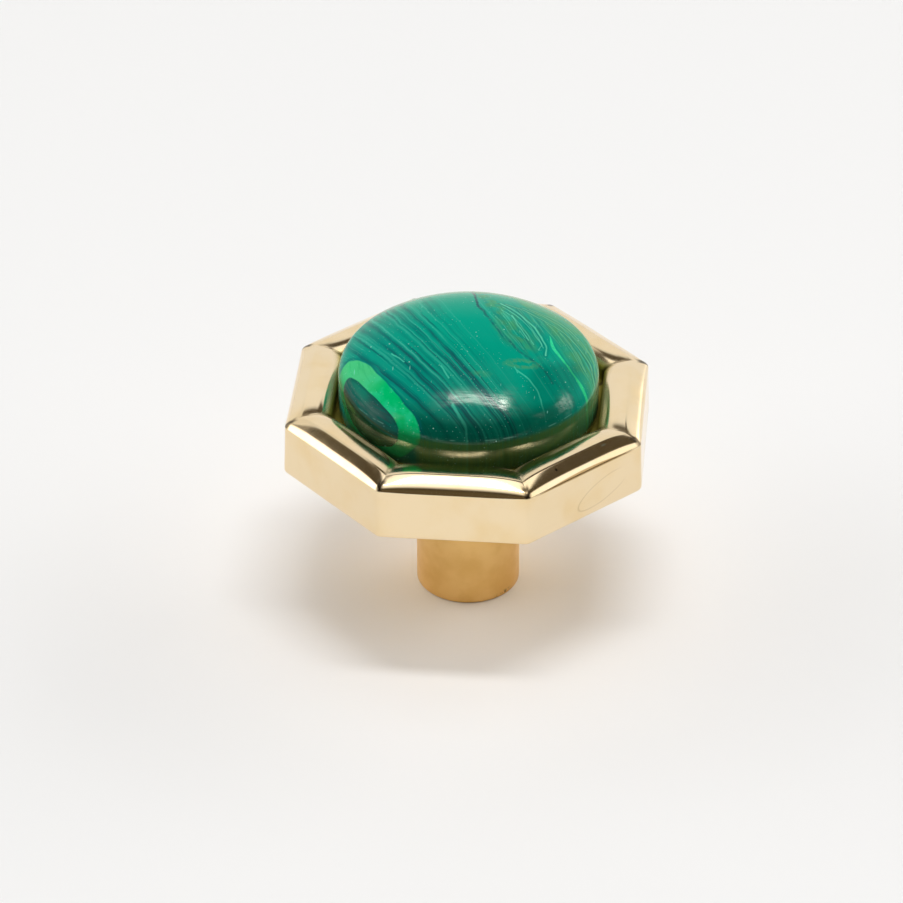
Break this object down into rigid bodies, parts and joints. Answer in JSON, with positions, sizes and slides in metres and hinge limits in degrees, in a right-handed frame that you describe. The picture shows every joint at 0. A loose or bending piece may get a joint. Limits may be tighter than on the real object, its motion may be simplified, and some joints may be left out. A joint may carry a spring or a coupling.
{
  "type": "malachite cabinet knob",
  "caption": "Domed round malachite cabochon set in an octagonal polished brass head on a short round brass stem, gripped to pull a drawer or cabinet door open.",
  "frame": {"origin": "centre of the stem's foot, on the face that stands against the drawer front", "axes": "+Z along the stem towards the stone; -Y faces one flat side of the octagonal head"},
  "size_m": [0.034, 0.034, 0.0292],
  "materials": {
    "malachite": "polished, banded dark teal and bright green",
    "polished_brass": "mirror polished, with fine polishing marks and dark creases",
    "satin_brass": "satin, with fine turning marks"
  },
  "bodies": {
    "root": {"malachite_cabochon": "malachite", "head": "polished_brass", "stem": "satin_brass"}
  },
  "joints": []
}
